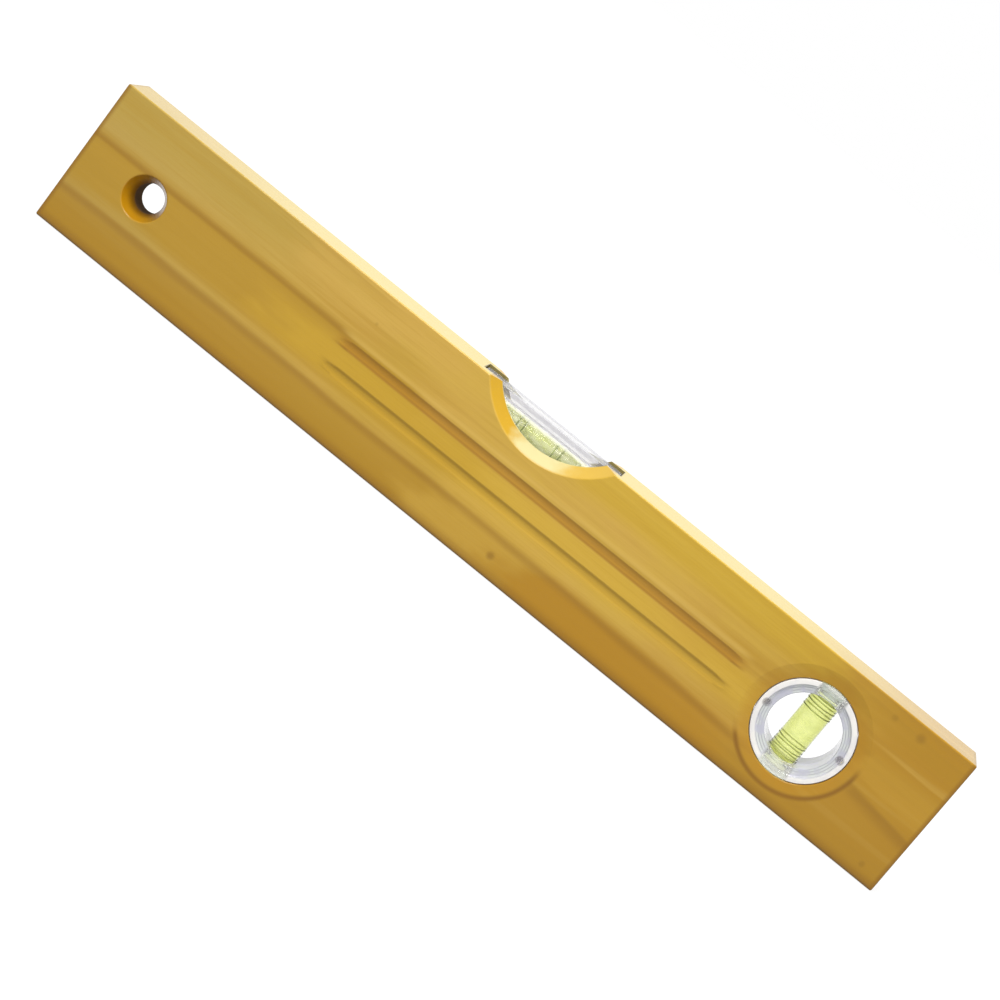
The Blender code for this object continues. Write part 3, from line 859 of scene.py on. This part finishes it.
def make_beam(pine):
    beam = add_mesh("fine_beam", rounded_block(BEAM_LOW, BEAM_HIGH, BEAM_EDGE))
    notch_z = BEAM_TOP - NOTCH_DEPTH + NOTCH_FACE_RADIUS
    notch = (NOTCH_INNER_RADIUS, NOTCH_FACE_RADIUS, NOTCH_FLARE_DEPTH, NOTCH_LIP)
    hang = (HANG_RADIUS, HANG_DISH_RADIUS, HANG_DISH_DEPTH, HANG_LIP)
    seat = (SEAT_RADIUS, SEAT_DISH_RADIUS, SEAT_DISH_DEPTH, SEAT_LIP)
    slot_low = HOLDER_LOW - Vector((SLOT_GAP,) * 3)
    slot_high = Vector((HOLDER_HIGH.x + SLOT_GAP, HOLDER_HIGH.y + SLOT_GAP, BEAM_TOP + OVERSHOOT))
    cutters = [
        dished_bore("notch_cutter", NOTCH_X, notch_z, *notch),
        dished_bore("hang_cutter", HANG_X, MID_HEIGHT, *hang),
        dished_bore("seat_cutter", RING_CENTRE.x, MID_HEIGHT, *seat),
        add_mesh("slot_cutter", rounded_block(slot_low, slot_high, SLOT_EDGE, 2)),
    ]
    for face_side in (-1, 1):
        for height_side in (-1, 1):
            name = f"flute_cutter_{face_side}_{height_side}"
            cutters.append(flute(name, face_side, height_side * FLUTE_OFFSET))
    carve(beam, cutters)
    finish_piece(beam, "beam", LEVEL_BODY, pine)


def make_holder(clear):
    """The clear block in the slot; its arched cradle is open below, where the tube goes in."""
    holder = add_mesh("fine_holder", rounded_block(HOLDER_LOW, HOLDER_HIGH, HOLDER_EDGE, 3))
    centre = LEVEL_VIAL.centre
    half_length = LEVEL_VIAL.half_length + LEVEL_VIAL.flange + 2 * PART_GAP
    arch = rod("arch_cutter", CRADLE_RADIUS, half_length, ALONG_X, centre)
    mouth_low = (centre.x - half_length, -CRADLE_RADIUS, HOLDER_LOW.z - OVERSHOOT)
    mouth_high = (centre.x + half_length, CRADLE_RADIUS, centre.z)
    mouth = add_mesh("mouth_cutter", rounded_block(mouth_low, mouth_high, MOUTH_EDGE, 1))
    carve(holder, [arch, mouth])
    finish_piece(holder, "horizontal_vial_holder", LEVEL_BODY, clear)


def bore_at(vial, along):
    """The barrel-shaped bore's radius at a distance from the vial's middle."""
    return BORE_MIDDLE - (BORE_MIDDLE - BORE_END) * (along / vial.half_length) ** 2


def steps_along(half_length, steps=12):
    return [half_length * (2 * step / steps - 1) for step in range(steps + 1)]


def tube_outline(vial):
    """Outside with a groove for each mark, ends eased, and a barrel-shaped bore."""
    floor = vial.radius - MARK_DEPTH - MARK_CLEARANCE
    groove = MARK_WIDTH / 2 + MARK_CLEARANCE
    corners = [(vial.radius, -vial.half_length, TUBE_EDGE)]
    for mark in sorted(side * mark for mark in vial.marks for side in (-1, 1)):
        corners.append((vial.radius, mark - groove, 0))
        corners.append((floor, mark - groove, 0))
        corners.append((floor, mark + groove, 0))
        corners.append((vial.radius, mark + groove, 0))
    corners.append((vial.radius, vial.half_length, TUBE_EDGE))
    for along in reversed(steps_along(vial.half_length)):
        corners.append((bore_at(vial, along), along, 0))
    return rounded(corners, 3)


def make_liquid(vial, finish):
    inner_half = vial.half_length - vial.grip
    barrel = [(bore_at(vial, along) + LIQUID_OVERLAP, along) for along in steps_along(inner_half)]
    outline = [(0, -inner_half), *barrel, (0, inner_half)]
    node = f"{vial.kind}_vial_liquid"
    fill = add_mesh(f"fine_{node}", turned(outline, VIAL_SIDES, vial.turn), vial.centre)
    finish_piece(fill, node, LEVEL_BODY, finish)


def make_mark(vial, end, rank, offset, finish):
    """One inked ring in its groove of the tube."""
    half_width = MARK_WIDTH / 2
    inner = vial.radius - MARK_DEPTH
    corners = [
        (inner, -half_width, 0),
        (vial.radius, -half_width, MARK_EDGE),
        (vial.radius, half_width, MARK_EDGE),
        (inner, half_width, 0),
    ]
    axis = (vial.turn @ Vector((0, 0, 1))).normalized()
    node = f"{vial.kind}_vial_{end}_{rank}_mark"
    shape = turned(rounded(corners, 2), VIAL_SIDES, vial.turn)
    ring = add_mesh(f"fine_{node}", shape, vial.centre + axis * offset)
    finish_piece(ring, node, LEVEL_BODY, finish)


def make_plug(vial, end, side, finish):
    """A stepped plug: a spigot in the tube's bore and a flange over the tube's end."""
    start = side * (vial.half_length - vial.grip)
    seat = side * (vial.half_length + PART_GAP)
    finish_at = seat + side * vial.flange
    spigot = BORE_END - PART_GAP
    corners = [
        (0, start, 0),
        (spigot, start, SPIGOT_EDGE),
        (spigot, seat, 0),
        (vial.radius, seat, PLUG_INNER_EDGE),
        (vial.radius, finish_at, PLUG_EDGE),
        (0, finish_at, 0),
    ]
    node = f"{vial.kind}_vial_{end}_plug"
    plug = add_mesh(f"fine_{node}", turned(rounded(corners), VIAL_SIDES, vial.turn), vial.centre)
    finish_piece(plug, node, LEVEL_BODY, finish)


def make_vial(vial, clear, liquid, ink, plugs):
    """Tube, liquid, marks and plugs of one vial."""
    node = f"{vial.kind}_vial_tube"
    tube = add_mesh(f"fine_{node}", turned(tube_outline(vial), VIAL_SIDES, vial.turn), vial.centre)
    finish_piece(tube, node, LEVEL_BODY, clear)
    make_liquid(vial, liquid)
    for end, side, plug in zip(vial.ends, (-1, 1), plugs):
        for rank, mark in zip(MARK_RANKS, vial.marks):
            make_mark(vial, end, rank, side * mark, ink)
        make_plug(vial, end, side, plug)


def make_bubble(vial, rise, half_sizes, along, finish):
    """An ellipsoid pressed against the bore: no point comes closer to the wall than the clearance."""
    builder = bmesh.new()
    bmesh.ops.create_uvsphere(builder, u_segments=64, v_segments=40, radius=1)
    centre = vial.centre + Vector((0, 0, rise))
    builder.transform(Matrix.Translation(centre) @ Matrix.Diagonal((*half_sizes, 1)))
    limit = BORE_END - BUBBLE_CLEARANCE
    for point in builder.verts:
        away = point.co - vial.centre
        away[along] = 0
        if away.length > limit:
            point.co -= away * (1 - limit / away.length)
    bubble = add_mesh(f"fine_{vial.kind}_bubble", builder)
    finish_piece(bubble, f"{vial.kind}_vial_bubble", f"{vial.kind}_bubble", finish)


def make_ring_half(name, side, cutters, clear):
    joint = side * RING_JOINT
    face = side * abs(RING_LOW.y)
    recess = face - side * RING_RECESS
    corners = [
        (RING_WINDOW, joint, 0),
        (RING_OUTER, joint, 0),
        (RING_OUTER, face, RING_EDGE),
        (RING_LIP_INNER, face, RING_EDGE),
        (RING_LIP_INNER, recess, RING_EDGE),
        (RING_WINDOW, recess, RING_EDGE),
    ]
    node = f"plumb_ring_{name}"
    half = add_mesh(f"fine_{node}", turned(rounded(corners, 4), ROUND_SIDES, ALONG_Y), RING_CENTRE)
    carve(half, cutters)
    finish_piece(half, node, LEVEL_BODY, clear)


def make_ring(clear, pin_finish):
    """Two halves that clamp the vial in their pocket, and the two pins that hold them together."""
    pocket_radius = PLUMB_VIAL.radius + PART_GAP
    pocket_half = PLUMB_VIAL.half_length + PLUMB_VIAL.flange + 2 * PART_GAP
    hole_radius = PIN_RADIUS + PART_GAP
    hole_half = PIN_HALF_LENGTH + PART_GAP
    pin_places = {side: RING_CENTRE + Vector((side * PIN_CIRCLE, 0, 0)) for side in (-1, 1)}
    for name, side in (("front", -1), ("back", 1)):
        cutters = [rod("pocket_cutter", pocket_radius, pocket_half, ALONG_Z, RING_CENTRE)]
        for place in pin_places.values():
            cutters.append(rod("pin_cutter", hole_radius, hole_half, ALONG_Y, place, sides=PIN_SIDES))
        make_ring_half(name, side, cutters, clear)
    for name, side in (("left", -1), ("right", 1)):
        node = f"plumb_ring_{name}_pin"
        size = (PIN_RADIUS, PIN_HALF_LENGTH)
        pin = rod(f"fine_{node}", *size, ALONG_Y, pin_places[side], PIN_EDGE, PIN_SIDES)
        finish_piece(pin, node, LEVEL_BODY, pin_finish)


# ---------------------------------------------------------------- floor, light and camera

CAMERA_AZIMUTH = 3.3
CAMERA_ELEVATION = 11.42
CAMERA_ROLL = 38.34
CAMERA_DISTANCE = 0.9818
CAMERA_TARGET = (0.0033, 0.0, 0.02424)
CAMERA_LENS = 94.6
CAMERA_SENSOR = 36
KEY_PLACE = (-0.10, -0.35, 0.75)
KEY_TARGET = (0, 0, 0.03)
KEY_SIZE = 0.5
KEY_POWER = 5.4
FLOOR_RADIUS = 12.0
FLOOR_DROP = 0.2 * MM
FLOOR_GLOW = 0.85
HORIZON = (-0.6, -0.08)
SKY_STRENGTH = (0.22, 1.0)
WHITE = (1.0, 1.0, 1.0, 1.0)


def add_camera():
    azimuth, elevation, roll = (
        math.radians(angle) for angle in (CAMERA_AZIMUTH, CAMERA_ELEVATION, CAMERA_ROLL)
    )
    flat = math.cos(elevation)
    forward = Vector((-math.sin(azimuth) * flat, math.cos(azimuth) * flat, -math.sin(elevation)))
    level_right = Vector((math.cos(azimuth), math.sin(azimuth), 0))
    level_up = level_right.cross(forward)
    right = math.cos(roll) * level_right + math.sin(roll) * level_up
    up = math.cos(roll) * level_up - math.sin(roll) * level_right
    data = bpy.data.cameras.new("camera")
    data.lens = CAMERA_LENS
    data.sensor_width = CAMERA_SENSOR
    camera = bpy.data.objects.new("camera", data)
    camera.matrix_world = Matrix.Translation(
        Vector(CAMERA_TARGET) - forward * CAMERA_DISTANCE
    ) @ Matrix((right, up, -forward)).transposed().to_4x4()
    bpy.context.scene.collection.objects.link(camera)
    bpy.context.scene.camera = camera


def add_area_light(name, place, target, size, power):
    data = bpy.data.lights.new(name, "AREA")
    data.shape = "DISK"
    data.size = size
    data.energy = power
    light = bpy.data.objects.new(name, data)
    light.location = place
    light.rotation_mode = "QUATERNION"
    light.rotation_quaternion = (Vector(target) - Vector(place)).to_track_quat("-Z", "Y")
    bpy.context.scene.collection.objects.link(light)


def add_world():
    """White above the horizon, fading to a dim grey below it."""
    world = bpy.data.worlds.new("studio")
    bpy.context.scene.world = world
    world.use_nodes = True
    tree = world.node_tree
    background = tree.nodes["Background"]
    direction = tree.nodes.new("ShaderNodeTexCoord")
    parts = tree.nodes.new("ShaderNodeSeparateXYZ")
    fade = tree.nodes.new("ShaderNodeMapRange")
    fade.inputs["From Min"].default_value, fade.inputs["From Max"].default_value = HORIZON
    fade.inputs["To Min"].default_value, fade.inputs["To Max"].default_value = SKY_STRENGTH
    tree.links.new(direction.outputs["Generated"], parts.inputs[0])
    tree.links.new(parts.outputs["Z"], fade.inputs["Value"])
    tree.links.new(fade.outputs["Result"], background.inputs["Strength"])
    background.inputs["Color"].default_value = WHITE


def add_floor():
    builder = bmesh.new()
    bmesh.ops.create_circle(builder, cap_ends=True, segments=96, radius=FLOOR_RADIUS)
    mesh = bpy.data.meshes.new("floor")
    builder.to_mesh(mesh)
    builder.free()
    floor = bpy.data.objects.new("floor", mesh)
    floor.location.z = -FLOOR_DROP
    finish = Finish("pale_floor_finish")
    tone = finish.noise((0.004, 0.004, 0.004))
    color = finish.mix(tone, (0.14, 0.14, 0.14), (0.17, 0.17, 0.17))
    mesh.materials.append(
        finish.set(
            base_color=color, roughness=0.9, emission_color=WHITE, emission_strength=FLOOR_GLOW
        )
    )
    floor.visible_diffuse = False
    bpy.context.scene.collection.objects.link(floor)


def build():
    add_camera()
    add_world()
    add_floor()
    add_area_light("key", KEY_PLACE, KEY_TARGET, KEY_SIZE, KEY_POWER)
    make_beam(pine_finish())
    make_holder(holder_finish())
    tube_clear = clear_finish("tube_acrylic_finish", *TUBE_TINTS, 0.98, 1.33)
    liquid = liquid_finish()
    air = air_finish()
    ink = moulded_finish("mark_ink_finish", *INK_TONES, 0.45, transmission=0.75)
    dark_ink = moulded_finish("level_ink_finish", *DARK_INK_TONES, 0.45)
    upper_plug = moulded_finish("upper_plug_finish", *UPPER_PLUG_TONES, 0.35, 0.1, 0.12)
    pale_plug = moulded_finish("lower_plug_finish", *PALE_PLUG_TONES, 0.35, 0.1, 0.16)
    pin = moulded_finish("pin_plastic_finish", *PIN_TONES, 0.4)
    make_vial(LEVEL_VIAL, milky_tube_finish(), liquid, dark_ink, (pale_plug, pale_plug))
    make_vial(PLUMB_VIAL, tube_clear, liquid, ink, (pale_plug, upper_plug))
    make_ring(ring_finish(), pin)
    make_bubble(LEVEL_VIAL, LEVEL_BUBBLE_RISE, LEVEL_BUBBLE_HALF, 0, air)
    top = PLUMB_VIAL.half_length - PLUMB_VIAL.grip - BUBBLE_CLEARANCE
    make_bubble(PLUMB_VIAL, top - PLUMB_BUBBLE_HALF[2], PLUMB_BUBBLE_HALF, 2, air)
    bpy.context.scene.view_settings.view_transform = "Standard"


build()
bpy.context.view_layer.update()
